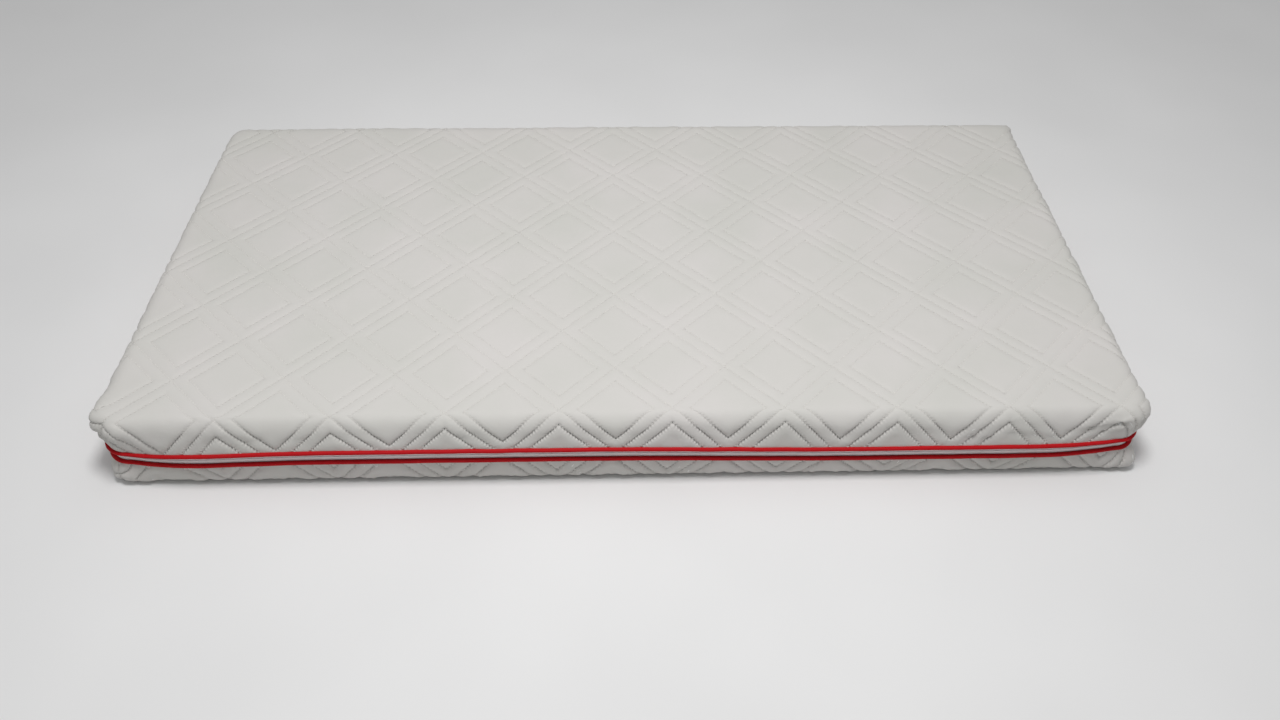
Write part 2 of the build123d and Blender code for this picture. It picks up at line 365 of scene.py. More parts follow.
def corner_blend(x, y, setting, spread):
    """A corner setting, blended to nothing away from the corners."""
    return sum(getattr(corner, setting) * near_corner(x, y, corner.direction, spread) for corner in CORNERS)


def band_height(x, y):
    """The zip is level at the back. Along the front it dips at the left end and over the right half."""
    front = smooth(WIDTH / 2, -WIDTH / 2, y)
    rise = FRONT_RISE - LEFT_END_DIP * smooth(-0.35, -0.54, x)
    rise = rise - RIGHT_HALF_DIP * smooth(-0.05, 0.27, x) + RIGHT_END_RISE * smooth(0.47, 0.57, x)
    return BAND_HEIGHT + front * rise


def band_share(x, y):
    """The two pipings come a little nearer to each other round the front corners."""
    front_corners = (FRONT_LEFT, FRONT_RIGHT)
    return 1 - 0.15 * sum(near_corner(x, y, corner.direction, PINCH_SPREAD) for corner in front_corners)


def front_lean(x, ny):
    """1 along the front, where the cloth leans out to the zip. 0 at its corners and on the other sides."""
    return np.clip(-ny, 0, 1) ** 2 * smooth(0.60, 0.545, np.abs(x))


def left_slant(x, y, nx):
    """The left end runs a little askew: out at the front and in at the back."""
    return np.where(x < 0, -END_SLANT * y / HALF_Y, 0) * nx**2


def band_stands_out(x, y, ny, rise):
    """How far the band is out from the plain outline, at a rise over its middle. Corners draw it in."""
    lean = FRONT_LEAN + LEAN_OVER_BAND * rise / BEAD_OFFSET
    return lean * front_lean(x, ny) - corner_blend(x, y, "inset", INSET_SPREAD)


def bead_line(y):
    return np.full_like(y, BEAD_DEPTH)


def tape_depth(y):
    """How far the tape is behind the cover's surface: more at the back, to clear the slider."""
    return (4.6 - 2.2 * smooth(0.26, 0.18, y)) * MM


# Sharp folds in the upper cloth near the front right corner, from end to end on the flat cloth
FOLDS = (
    ((0.520, -0.316), (0.562, -0.309)),
    ((0.562, -0.309), (0.594, -0.300)),
    ((0.545, -0.322), (0.590, -0.314)),
    ((0.436, -0.318), (0.488, -0.325)),
    ((0.388, -0.322), (0.420, -0.325)),
)


def fold(x, y, start, end):
    """A pinched fold along a line, with the cloth standing up on its upper side. In millimetres."""
    run = np.array(end) - np.array(start)
    length = np.hypot(*run)
    along = ((x - start[0]) * run[0] + (y - start[1]) * run[1]) / length
    across = ((y - start[1]) * run[0] - (x - start[0]) * run[1]) / length
    beyond = np.maximum(0, np.maximum(-along, along - length))
    fade = np.exp(-((beyond / (5 * MM)) ** 2))
    valley = np.exp(-((across / (1.8 * MM)) ** 2))
    ridge = np.exp(-(((across - 4.0 * MM) / (3.0 * MM)) ** 2))
    return (1.1 * ridge - 1.5 * valley) * fade


class Half:
    """One half of the cover, as a map from flat cloth to space."""

    def __init__(self, name, side, level, edge_radius, slip, ends_out, wall_puff):
        self.name = name
        self.side = side  # 1 for the upper half and -1 for the lower
        self.upper = side > 0
        self.level = level  # of its flat face
        self.edge_radius = edge_radius
        self.slip = slip  # how far the quilting lies to the left and to the front, against the lattice
        self.ends_out = ends_out  # how far the left and right short sides stand out
        self.wall_puff = wall_puff  # how much deeper the quilting is on the sides
        self.turn_starts = CORNER_RADIUS - edge_radius
        self.turn_ends = self.turn_starts + edge_radius * math.pi / 2
        self.hem = BAND_HEIGHT + side * (BEAD_OFFSET + BEAD_RADIUS * 0.6)
        self.reach = self.turn_ends + abs(level - side * edge_radius - self.hem)

    def base(self, x, y):
        """Points of the smooth surface, before quilting."""
        cx, cy, nx, ny, reach = plan(x, y)
        angle = np.clip((reach - self.turn_starts) / self.edge_radius, 0, math.pi / 2)
        down = np.clip((reach - self.turn_ends) / (self.reach - self.turn_ends), 0, 1)
        radius = np.minimum(reach, self.turn_starts) + self.edge_radius * np.sin(angle)
        hem = band_height(cx, cy) + (self.hem - BAND_HEIGHT) * band_share(cx, cy)
        wall_top = self.level - self.side * self.edge_radius
        z = self.level - self.side * self.edge_radius * (1 - np.cos(angle)) + down * (hem - wall_top)
        radius, z = self.soften(cx, cy, nx, ny, reach, down, radius, z)
        return np.stack([cx + nx * radius, cy + ny * radius, z], axis=-1)

    def soften(self, cx, cy, nx, ny, reach, down, radius, z):
        """Bulging sides, ears at the corners, and the edge drawn in at the zip."""
        over_edge = np.clip((reach - self.turn_starts) / (self.reach - self.turn_starts), 0, 1)

        def hump(early):
            """A hump over the edge. The smaller early is, the nearer its top is to the flat face."""
            return np.sin(math.pi * over_edge**early) ** 1.2

        lean = front_lean(cx, ny)
        bulge = SIDE_BULGE * ny**2 * (1 - 0.8 * lean)
        ear = (1.0 if self.upper else 0.2) * corner_blend(cx, cy, "ear", EAR_SPREAD) * nx**6
        left, right = self.ends_out
        end = np.where(cx < 0, left, right) * nx**2 * (1 - smooth(0.2, 1.0, down)) + left_slant(cx, cy, nx)
        radius = radius + bulge * hump(0.85) + ear * hump(np.where(cx < 0, 0.42, 1.0))
        if self.upper:
            radius = radius - FRONT_DENT * lean * hump(0.7)
        radius = radius + end * smooth(0, self.turn_ends, reach)
        at_zip = band_stands_out(cx, cy, ny, self.side * BEAD_OFFSET) - HEM_DEPTH
        radius = radius + at_zip * (lean * over_edge**1.5 + (1 - lean) * smooth(0.25, 1.0, down))
        diagonal = 1 / np.maximum(np.maximum(np.abs(nx), np.abs(ny)), 0.5) - 1
        diagonal = np.where(np.hypot(nx, ny) > 0.5, diagonal, 0)
        square = corner_blend(cx, cy, f"{self.name}_square", SQUARE_SPREAD)
        squareness = square * smooth(0, self.turn_ends, reach) * (1 - smooth(0.2, 1.0, down))
        radius = radius * (1 + squareness * diagonal)
        if self.upper:
            z = z + 0.4 * MM * waves(cx, cy, 0.35, 3) * (1 - down)
        return radius, z

    def surface(self, x, y, offset):
        """Points at an offset along the smooth surface's outward normal, and none below the floor."""
        step = 0.4 * MM
        middle = self.base(x, y)
        along_x = self.base(x + step, y) - self.base(x - step, y)
        along_y = self.base(x, y + step) - self.base(x, y - step)
        normal = np.cross(along_x, along_y) * self.side
        normal /= np.maximum(np.linalg.norm(normal, axis=-1, keepdims=True), 1e-12)
        points = middle + normal * np.asarray(offset)[..., None]
        if not self.upper:
            points[..., 2] = np.maximum(points[..., 2], 0.05 * MM)
        return points

    def quilting(self, x, y):
        """Height of the quilting over the smooth surface. It flattens out at the hem."""
        _, _, _, _, reach = plan(x, y)
        wall = smooth(self.turn_starts + 3 * MM, self.turn_ends, reach)
        flattened = 1 - 0.9 * smooth(self.reach - 9 * MM, self.reach, reach)
        depth = 0.95 * MM + self.wall_puff * wall
        lift = 0.55 if self.upper else 0.55 * wall
        left, forward = self.slip
        full = puff(x + left, y + forward, (5.5 + 1.7 * wall) * MM, wall) - 1 + lift
        ripple = (0.35 + 0.65 * wall) * QUILT.ripple(x + left, y + forward, not self.upper)
        return (depth * (full + ripple) + self.creases(x, y, wall, reach)) * flattened

    def creases(self, x, y, wall, reach):
        """Slack folds that run along the sides and gather at the corners."""
        gather = corner_blend(x, y, "ear", GATHER_SPREAD) / FRONT_LEFT.ear
        along = np.where(np.abs(x) > HALF_X, y, x)
        folds = waves(reach * 5.5, along, 0.075, 13, 8)
        size = 0.35 * waves(x, y, 0.16, 12) * wall + 0.75 * gather * folds * wall
        if self.upper:
            size = size + sum(fold(x, y, start, end) for start, end in FOLDS)
        return size * MM


QUILT = Quilt()
UPPER = Half(
    "upper", side=1, level=HEIGHT - 1.1 * MM, edge_radius=17 * MM, slip=(0.0, 0.0),
    ends_out=(-1.5 * MM, -0.5 * MM), wall_puff=1.45 * MM,
)
LOWER = Half(
    "lower", side=-1, level=0.0, edge_radius=12 * MM, slip=(5.0 * MM, 12.0 * MM),
    ends_out=(-1.0 * MM, 4.0 * MM), wall_puff=1.85 * MM,
)
HALVES = (UPPER, LOWER)


# ---------------------------------------------------------------- cloth grids
def cell_marks(fine):
    """Where the grid lines of one diamond fall, closer together at the stitches."""
    if fine:
        first = [0, 0.011, 0.030, 0.060, 0.100, 0.130, INNER - 0.011, INNER, INNER + 0.011]
        first += [0.192, 0.228, 0.285, 0.35, 0.425]
    else:
        first = [0, 0.04, 0.08, 0.12, INNER, 0.22, 0.32, 0.41]
    return first + [0.5] + [1 - mark for mark in reversed(first[1:])]


def cloth_grid(half, fine):
    """Flat cloth cut to the half's outline, meshed along the stitch lines. Returns points and quads."""
    marks = cell_marks(fine)
    p_first, p_last, q_first, q_last = lattice_range(HALF_X + half.reach, HALF_Y + half.reach)
    rows = repeated(marks, p_first, p_last + 1)
    columns = repeated(marks, q_first, q_last + 1)
    grid_p, grid_q = np.meshgrid(rows, columns, indexing="ij")
    x, y = from_lattice(grid_p.ravel(), grid_q.ravel())
    x, y = x - half.slip[0], y - half.slip[1]
    quads = grid_quads(grid_p.shape)
    middle_reach = plan(x[quads].mean(axis=1), y[quads].mean(axis=1))[4]
    used, quads = keep_quads(quads, middle_reach < half.reach)
    flat = np.stack([x[used], y[used]], axis=1)
    rim = rim_points(quads)
    cx, cy, nx, ny, _ = plan(flat[rim, 0], flat[rim, 1])
    flat[rim, 0] = cx + nx * half.reach
    flat[rim, 1] = cy + ny * half.reach
    if not half.upper:
        quads = quads[:, ::-1]
    return flat, quads


def cloth_piece(half, name, fine, offset):
    """One layer of the cover, with offset a function of flat x and y."""
    flat, quads = cloth_grid(half, fine)
    points = half.surface(flat[:, 0], flat[:, 1], offset(flat[:, 0], flat[:, 1]))
    piece = make_mesh(name, points, quads)
    across, along = (flat + half.slip).T
    store_cloth(piece, across, along - bow(across))
    return piece


def cloth_slab(half, name, outer, inner):
    """A closed layer between two offsets, joined at the rim."""
    flat, quads = cloth_grid(half, False)
    x, y = flat.T
    count = len(flat)
    points = np.concatenate([half.surface(x, y, outer(x, y)), half.surface(x, y, inner(x, y))])
    edges = rim_edges(quads)
    wall = np.stack([edges[:, 1], edges[:, 0], edges[:, 0] + count, edges[:, 1] + count], axis=1)
    piece = make_mesh(name, points, np.concatenate([quads, quads[:, ::-1] + count, wall]))
    store_cloth(piece, np.tile(x, 2), np.tile(y, 2))
    return piece


# ---------------------------------------------------------------- stitches
def stitch_centres(half, inner):
    """Middle of every stitch on the flat cloth, with its direction, for the diamonds or inner squares."""
    p_first, p_last, q_first, q_last = lattice_range(HALF_X + half.reach, HALF_Y + half.reach)
    low, high = min(p_first, q_first), max(p_last, q_last)
    count = SQUARE_STITCHES if inner else DIAMOND_STITCHES
    start, stop = (INNER, 1 - INNER) if inner else (0, 1)
    run = repeated(start + (np.arange(count) + 0.5) / count * (stop - start), low, high)
    fixed = repeated([INNER, 1 - INNER] if inner else [0], low, high)
    fixed, run = (grid.ravel() for grid in np.meshgrid(fixed, run, indexing="ij"))
    centres = []
    for p, q, dp, dq in ((fixed, run, 0, 1), (run, fixed, 1, 0)):
        x, y = from_lattice(p, q)
        dx, dy = from_lattice(p + dp, q + dq)
        direction = np.stack([dx - x, dy - y], axis=1)
        x, y = x - half.slip[0], y - half.slip[1]
        inside = plan(x, y)[4] < half.reach - 1 * MM
        centres.append((np.stack([x, y], axis=1)[inside], unit(direction)[inside]))
    return (np.concatenate(parts) for parts in zip(*centres))


def stitches(half, name, inner):
    """Short lengths of thread that lie on the cloth and dip into it at both ends."""
    centre, direction = stitch_centres(half, inner)
    stations = np.array([-0.5, -0.22, 0.22, 0.5])
    heights = np.array([-0.35, 0.5, 0.5, -0.35]) * MM
    widths = np.array([0.6, 1.0, 1.0, 0.6]) * THREAD_RADIUS
    sides = 4
    rings = []
    for station, height, radius in zip(stations, heights, widths):
        flat = centre + direction * station * STITCH_SEEN
        x, y = flat.T
        lift = half.quilting(x, y) + height
        middle = half.surface(x, y, lift)
        above = unit(half.surface(x, y, lift + 1 * MM) - middle)
        ahead = half.surface(*(flat + direction * 0.5 * MM).T, lift) - middle
        across = unit(np.cross(ahead, above))
        for side in range(sides):
            turn = 2 * math.pi * (side + 0.5) / sides
            rings.append(middle + radius * (math.cos(turn) * across + math.sin(turn) * above))
    rings = np.stack(rings, axis=1)
    count, each = rings.shape[:2]
    end = np.arange(sides)[None]
    quads = np.concatenate([tube_quads(len(stations), sides, False), end[:, ::-1], end + each - sides])
    faces = (np.arange(count)[:, None, None] * each + quads).reshape(-1, 4)
    return make_mesh(name, rings.reshape(-1, 3), faces)


# ---------------------------------------------------------------- pieces that run round the band
def stations_round(step=3 * MM, open_ring=False):
    """Points of the inner rectangle and outward directions, in order round the mattress."""
    places = []

    def straight(start, end, normal):
        count = max(2, round(math.dist(start, end) / step))
        for i in range(count):
            t = i / count
            places.append([start[0] + (end[0] - start[0]) * t, start[1] + (end[1] - start[1]) * t, *normal])

    def corner(x, y, first_degrees):
        count = 16
        for i in range(count):
            turn = math.radians(first_degrees - 90 * i / count)
            places.append([x, y, math.cos(turn), math.sin(turn)])

    start = (ZIP_START_X, HALF_Y)
    turning = 90
    corners = (BACK_RIGHT, FRONT_RIGHT, FRONT_LEFT, BACK_LEFT)
    for place, normal in zip(corners, ((0, 1), (1, 0), (0, -1), (-1, 0))):
        centre = (place.direction[0] * HALF_X, place.direction[1] * HALF_Y)
        straight(start, centre, normal)
        corner(*centre, turning)
        start = centre
        turning -= 90
    straight(start, (ZIP_END_X, HALF_Y), (0, 1))
    if open_ring:
        places.append([ZIP_END_X, HALF_Y, 0, 1])
    return np.array(places)


def band_points(places, depth, rise, follows):
    """Points at a depth behind the line that is followed and a rise over the middle of the band.

    Along the front, what lies behind the leaning cloth is tucked further in.
    """
    x, y, nx, ny = places.T
    tucked = 0.35 * np.maximum(0, np.abs(rise) - BEAD_OFFSET - 1 * MM) * front_lean(x, ny)
    radius = CORNER_RADIUS - depth - tucked - follows(y) + left_slant(x, y, nx)
    radius = radius + band_stands_out(x, y, ny, rise)
    height = band_height(x, y) + rise * band_share(x, y)
    return np.stack([x + nx * radius, y + ny * radius, height], axis=1)


def band_sweep(name, section, follows, open_ring=False, wobble=0.0, seed=1):
    """A closed section, as (depth, rise) pairs in order, swept all round the band."""
    places = stations_round(open_ring=open_ring)
    x, y = places[:, 0], places[:, 1]
    shift = wobble * waves(x, y, 0.05, seed) if wobble else 0.0
    rings = np.stack([band_points(places, depth, rise + shift, follows) for depth, rise in section], axis=1)
    count, each = rings.shape[:2]
    piece = make_mesh(name, rings.reshape(-1, 3), tube_quads(count, each, not open_ring))
    store_cloth(piece, np.repeat(running_length(rings[:, 0]), each), np.tile(np.arange(each) / each, count))
    return piece


def piping_section(side):
    """Round bead, whose flange runs back under the hem and behind the cover. Depths are from its centre."""
    points = []
    for i in range(15):
        turn = math.radians(125 + 290 * i / 14)
        points.append((BEAD_RADIUS * math.sin(turn), BEAD_RADIUS * math.cos(turn)))
    points += [(3.9 * MM, 1.3 * MM), (3.9 * MM, 12 * MM), (4.2 * MM, 12 * MM), (4.2 * MM, 0.6 * MM)]
    return [(depth, side * (BEAD_OFFSET + rise)) for depth, rise in points]


def round_section(rise, radius, sides=10):
    turns = [2 * math.pi * i / sides for i in range(sides)]
    return [(radius * math.cos(t), rise + radius * math.sin(t)) for t in turns]


def tape_section(side):
    """Zip tape that rounds over towards the teeth at its edge, and goes behind the flange at the other."""
    edge = TAPE_GAP / 2
    outer = [(0.75, 0), (0.25, 0.15), (-0.1, 0.7), (-0.25, 1.8), (-0.05, 3.2), (0, 4.4), (0.1, 6.6)]
    outer += [(3.0, 9.8), (3.0, 21)]
    inner = [(3.0, 21), (3.0, 9.8), (0.1, 6.6), (0, 0.4)]
    points = [(depth * MM, edge + rise * MM) for depth, rise in outer]
    points += [(depth * MM + TAPE_THICKNESS, edge + rise * MM) for depth, rise in inner]
    return [(depth, side * rise) for depth, rise in points]


def coil(name, side):
    """The zip's teeth: one long coil of monofilament along the tape's inner face."""
    places = stations_round(step=1.5 * MM, open_ring=True)
    guide = band_points(places, TAPE_THICKNESS + COIL_DEPTH, side * (TAPE_GAP / 2 + COIL_RISE), tape_depth)
    lengths = running_length(guide)
    points_per_turn = 8
    run = np.arange(COIL_ENDS[0], lengths[-1] - COIL_ENDS[1], COIL_PITCH / points_per_turn)
    centre = np.stack([np.interp(run, lengths, guide[:, i]) for i in range(3)], axis=1)
    outward = unit(np.stack([np.interp(run, lengths, places[:, i]) for i in (2, 3)], axis=1))
    turn = run / COIL_PITCH * 2 * math.pi + (math.pi if side < 0 else 0)
    line = centre.copy()
    line[:, :2] += outward * (COIL_HALF_DEPTH * np.cos(turn))[:, None]
    line[:, 2] += COIL_HALF_HEIGHT * np.sin(turn)
    tangent = unit(np.gradient(line, axis=0))
    radial = line - centre
    radial = unit(radial - tangent * (radial * tangent).sum(axis=1, keepdims=True))
    binormal = np.cross(tangent, radial)
    sides = 4
    rings = []
    for i in range(sides):
        angle = 2 * math.pi * i / sides
        rings.append(line + COIL_WIRE_RADIUS * (math.cos(angle) * radial + math.sin(angle) * binormal))
    rings = np.stack(rings, axis=1)
    quads = tube_quads(len(line), sides, False)[:, [0, 3, 2, 1]]
    end = np.arange(sides)[None]
    faces = np.concatenate([quads, end, end[:, ::-1] + (len(line) - 1) * sides])
    return make_mesh(name, rings.reshape(-1, 3), faces)


# ---------------------------------------------------------------- materials
class Nodes:
    """Short names for building a shader's node tree."""

    def __init__(self, name, kind="materials", shader="Principled BSDF"):
        self.owner = getattr(bpy.data, kind).new(name)
        self.owner.use_nodes = True
        self.tree = self.owner.node_tree
        self.shader = self.tree.nodes[shader]

    def put(self, socket, value):
        if isinstance(value, bpy.types.NodeSocket):
            self.tree.links.new(value, socket)
        elif value is not None:
            socket.default_value = value

    def new(self, kind, **inputs):
        """A node, with a value or a link for each input that is named."""
        node = self.tree.nodes.new("ShaderNode" + kind)
        for name, value in inputs.items():
            self.put(node.inputs[name], value)
        return node

    def math(self, operation, a, b=None, c=None):
        node = self.new("Math")
        node.operation = operation
        for socket, value in zip(node.inputs, (a, b, c)):
            self.put(socket, value)
        return node.outputs[0]

    def plus(self, a, b):
        return self.math("ADD", a, b)

    def minus(self, a, b):
        return self.math("SUBTRACT", a, b)

    def times(self, a, b):
        return self.math("MULTIPLY", a, b)

    def cloth(self):
        """Flat cloth coordinates, in metres, as x and y sockets."""
        node = self.new("Attribute")
        node.attribute_name = "cloth"
        split = self.new("SeparateXYZ", Vector=node.outputs["Vector"])
        return split.outputs[0], split.outputs[1]

    def place(self, scale=(1, 1, 1)):
        """Object coordinates, stretched."""
        object_place = self.new("TexCoord").outputs["Object"]
        return self.new("Mapping", Scale=scale, Vector=object_place).outputs[0]

    def noise(self, vector, scale, detail=2.0, roughness=0.5):
        node = self.new("TexNoise", Vector=vector, Scale=scale, Detail=detail, Roughness=roughness)
        return node.outputs["Fac"]

    def voronoi(self, vector, scale):
        return self.new("TexVoronoi", Vector=vector, Scale=scale).outputs["Distance"]

    def mix(self, share, first, second):
        node = self.new("Mix")
        node.data_type = "RGBA"
        self.put(node.inputs[0], share)
        self.put(node.inputs[6], first)
        self.put(node.inputs[7], second)
        return node.outputs[2]

    def spread(self, value, low, high, to_low, to_high, curve="LINEAR"):
        """Maps low to to_low and high to to_high, and holds the value outside them."""
        node = self.new("MapRange")
        node.interpolation_type = curve
        self.put(node.inputs[0], value)
        for socket, number in zip(list(node.inputs)[1:5], (low, high, to_low, to_high)):
            socket.default_value = number
        return node.outputs[0]

    def bump(self, height, distance, strength=1.0, before=None):
        node = self.new("Bump", Strength=strength, Distance=distance, Height=height, Normal=before)
        return node.outputs[0]

    def finish(self, color=None, roughness=None, normal=None, **fixed):
        self.put(self.shader.inputs["Base Color"], color)
        self.put(self.shader.inputs["Roughness"], roughness)
        self.put(self.shader.inputs["Normal"], normal)
        for socket, value in fixed.items():
            self.shader.inputs[socket.replace("_", " ")].default_value = value
        return self.owner


def rgb(red, green, blue):
    """A colour as seen on screen, from 0 to 255, made linear."""
    channels = []
    for value in (red, green, blue):
        share = value / 255
        channels.append(share / 12.92 if share <= 0.04045 else ((share + 0.055) / 1.055) ** 2.4)
    return (*channels, 1.0)


def line_height(n, across, along, window):
    """Puckers along one family of stitch lines, with across and along in metres."""
    groove = n.math("EXPONENT", n.times(across, -1 / PUCKER_REACH))
    wave = n.math("COSINE", n.times(along, 2 * math.pi / STITCH))
    pulled = n.math("MULTIPLY_ADD", wave, 0.5, 0.5)
    return n.times(n.times(groove, pulled), window)


def quilt_height(n):
    """Pucker height at every stitch line, from 0 to 1, worked out from flat cloth coordinates."""
    x, y = n.cloth()
    across = n.times(n.minus(x, LATTICE_X), 1 / HALF_PITCH)
    down = n.times(n.minus(LATTICE_Y, y), 1 / HALF_PITCH)
    p = n.times(n.plus(across, down), 0.5)
    q = n.times(n.minus(across, down), 0.5)
    total = None
    for line, run in ((p, q), (q, p)):
        from_middle = n.math("ABSOLUTE", n.minus(n.math("FRACT", line), 0.5))
        run_middle = n.math("ABSOLUTE", n.minus(n.math("FRACT", run), 0.5))
        to_diamond = n.times(n.minus(0.5, from_middle), CELL)
        square_off = n.math("ABSOLUTE", n.minus(from_middle, 0.5 - INNER))
        to_square = n.times(square_off, CELL)
        in_square = n.math("LESS_THAN", run_middle, 0.5 - INNER)
        diamond_run = n.times(run, DIAMOND_STITCHES * STITCH)
        square_run = n.minus(n.math("FRACT", run), INNER)
        square_run = n.times(square_run, SQUARE_STITCHES * STITCH / (1 - 2 * INNER))
        for lines in ((to_diamond, diamond_run, 1.0), (to_square, square_run, in_square)):
            puckers = line_height(n, *lines)
            total = puckers if total is None else n.plus(total, puckers)
    return total


def on_wall(n):
    """0 on the top and underside, 1 on the sides, from how far past the corner centres the cloth is."""
    x, y = n.cloth()
    past_x = n.math("MAXIMUM", n.minus(n.math("ABSOLUTE", x), HALF_X), 0)
    past_y = n.math("MAXIMUM", n.minus(n.math("ABSOLUTE", y), HALF_Y), 0)
    reach = n.math("SQRT", n.plus(n.math("POWER", past_x, 2), n.math("POWER", past_y, 2)))
    return n.spread(reach, UPPER.turn_starts, UPPER.turn_ends, 0, 1)


def weave(n, scale):
    """Plain weave from two crossed waves, in flat cloth coordinates."""
    x, y = n.cloth()
    warp = n.math("SINE", n.times(x, scale))
    weft = n.math("SINE", n.times(y, scale))
    return n.times(warp, weft)


def face_material():
    n = Nodes("quilted_microfibre")
    place = n.place()
    mottle = n.noise(place, 9, 3)
    fibre = n.noise(place, 900, 2)
    puckers = quilt_height(n)
    wall = on_wall(n)
    color = n.mix(n.spread(mottle, 0.3, 0.7, 0, 1), rgb(202, 201, 196), rgb(208, 205, 202))
    # Painted shade: the dips of the stitch puckers on the sides are darkened in colour, as if in shade, and
    # not on the top
    painted_stitch_shade = n.times(n.spread(puckers, 0.35, 0.9, 0, 0.42), wall)
    color = n.mix(painted_stitch_shade, color, rgb(140, 136, 132))
    shine = n.spread(fibre, 0.3, 0.7, 0.74, 0.9)
    creases = n.noise(place, 60, 3, 0.55)
    normal = n.bump(creases, 0.35 * MM, 0.5)
    normal = n.bump(n.times(puckers, n.spread(wall, 0, 1, -0.2, -1)), 1.2 * MM, 1.0, normal)
    normal = n.bump(fibre, 0.12 * MM, 0.5, normal)
    normal = n.bump(weave(n, 2 * math.pi / (0.9 * MM)), 0.03 * MM, 0.6, normal)
    return n.finish(color, shine, normal, Sheen_Weight=0.06, Sheen_Roughness=0.4)


def plain_cloth(name, light, dark, fibre_scale, bump_size=0.15 * MM):
    """Wadding, backing and piping cord: fibrous and slightly uneven."""
    n = Nodes(name)
    place = n.place()
    fibre = n.noise(place, fibre_scale, 4, 0.65)
    cloud = n.noise(place, 25, 3)
    share = n.times(n.plus(fibre, cloud), 0.5)
    color = n.mix(n.spread(share, 0.35, 0.65, 0, 1), dark, light)
    rough = n.spread(fibre, 0.2, 0.8, 0.77, 0.93)
    return n.finish(color, rough, n.bump(fibre, bump_size, 0.7), Sheen_Weight=0.2)


def knitted_cloth(name, light, dark):
    """Fine jersey: columns of small loops."""
    n = Nodes(name)
    across, along = n.cloth()
    column = n.math("SINE", n.times(across, 2 * math.pi / (1.6 * MM)))
    row = n.times(along, 2 * math.pi / (1.3 * MM))
    lean = n.math("MULTIPLY_ADD", n.math("ABSOLUTE", column), 0.9, row)
    loop = n.math("MULTIPLY_ADD", n.math("SINE", lean), 0.5, 0.5)
    knit = n.times(loop, n.math("MULTIPLY_ADD", n.math("ABSOLUTE", column), 0.7, 0.3))
    fuzz = n.noise(n.place(), 1200, 3)
    cloud = n.noise(n.place(), 14, 3)
    color = n.mix(n.spread(n.plus(knit, fuzz), 0.3, 1.3, 0, 1), dark, light)
    color = n.mix(n.spread(cloud, 0.45, 0.75, 0, 0.3), color, dark)
    normal = n.bump(fuzz, 0.1 * MM, 0.5, n.bump(knit, 0.35 * MM, 0.8))
    return n.finish(color, n.spread(knit, 0, 1, 0.95, 0.82), normal, Sheen_Weight=0.2)


def ribbed_tape(name, light, dark, rib, sheen=0.3, gloss=0.5):
    """Woven tape: fine ribs that run round the band, crossed by short threads."""
    n = Nodes(name)
    run, across = n.cloth()
    place = n.place()
    thread = n.math("SINE", n.times(run, 2 * math.pi / rib))
    cross = n.math("SINE", n.times(across, 2 * math.pi * 24))
    twill = n.math("MULTIPLY_ADD", n.times(thread, cross), 0.5, 0.5)
    fuzz = n.noise(place, 1500, 2)
    wear = n.noise(place, 40, 3)
    share = n.math("MULTIPLY_ADD", twill, 0.55, n.times(fuzz, 0.3))
    color = n.mix(share, dark, light)
    color = n.mix(n.spread(wear, 0.45, 0.8, 0, 0.25), color, dark)
    normal = n.bump(twill, 0.12 * MM, 0.7)
    normal = n.bump(fuzz, 0.08 * MM, 0.5, normal)
    soft = {"Sheen_Weight": sheen, "Sheen_Roughness": 0.45, "Specular_IOR_Level": gloss}
    return n.finish(color, n.spread(twill, 0, 1, 0.72, 0.55), normal, **soft)


def foam_material(name, light, dark):
    n = Nodes(name)
    place = n.place()
    pores = n.voronoi(place, 900)
    cloud = n.noise(place, 18, 3)
    color = n.mix(n.spread(pores, 0.1, 0.6, 0, 1), dark, light)
    color = n.mix(n.spread(cloud, 0.4, 0.7, 0, 0.2), color, dark)
    return n.finish(color, n.spread(pores, 0, 0.6, 0.95, 0.8), n.bump(pores, 0.35 * MM, 0.8))


def thread_material(name, color):
    n = Nodes(name)
    fibre = n.noise(n.place(), 2500, 2)
    shade = tuple(0.8 * c for c in color[:3]) + (1.0,)
    tone = n.mix(n.spread(fibre, 0.3, 0.7, 0, 1), shade, color)
    rough = n.spread(fibre, 0, 1, 0.45, 0.65)
    return n.finish(tone, rough, n.bump(fibre, 0.05 * MM, 0.5), Sheen_Weight=0.3)


def coil_material():
    n = Nodes("zip_monofilament")
    fine = n.noise(n.place(), 800, 2)
    color = n.mix(n.spread(fine, 0.3, 0.7, 0, 1), rgb(170, 168, 166), rgb(196, 194, 192))
    return n.finish(color, n.spread(fine, 0, 1, 0.28, 0.42), n.bump(fine, 0.02 * MM, 0.5))


def metal_material():
    """Nickel-plated zinc with fine scratches and smudges."""
    n = Nodes("zip_nickel")
    place = n.place((1, 1, 12))
    scratch = n.noise(place, 700, 4, 0.6)
    smudge = n.noise(n.place(), 120, 3)
    color = n.mix(n.spread(smudge, 0.35, 0.7, 0, 1), rgb(206, 205, 201), rgb(176, 174, 170))
    rough = n.spread(n.plus(scratch, smudge), 0.7, 1.4, 0.18, 0.42)
    return n.finish(color, rough, n.bump(scratch, 0.03 * MM, 0.5), Metallic=1.0)


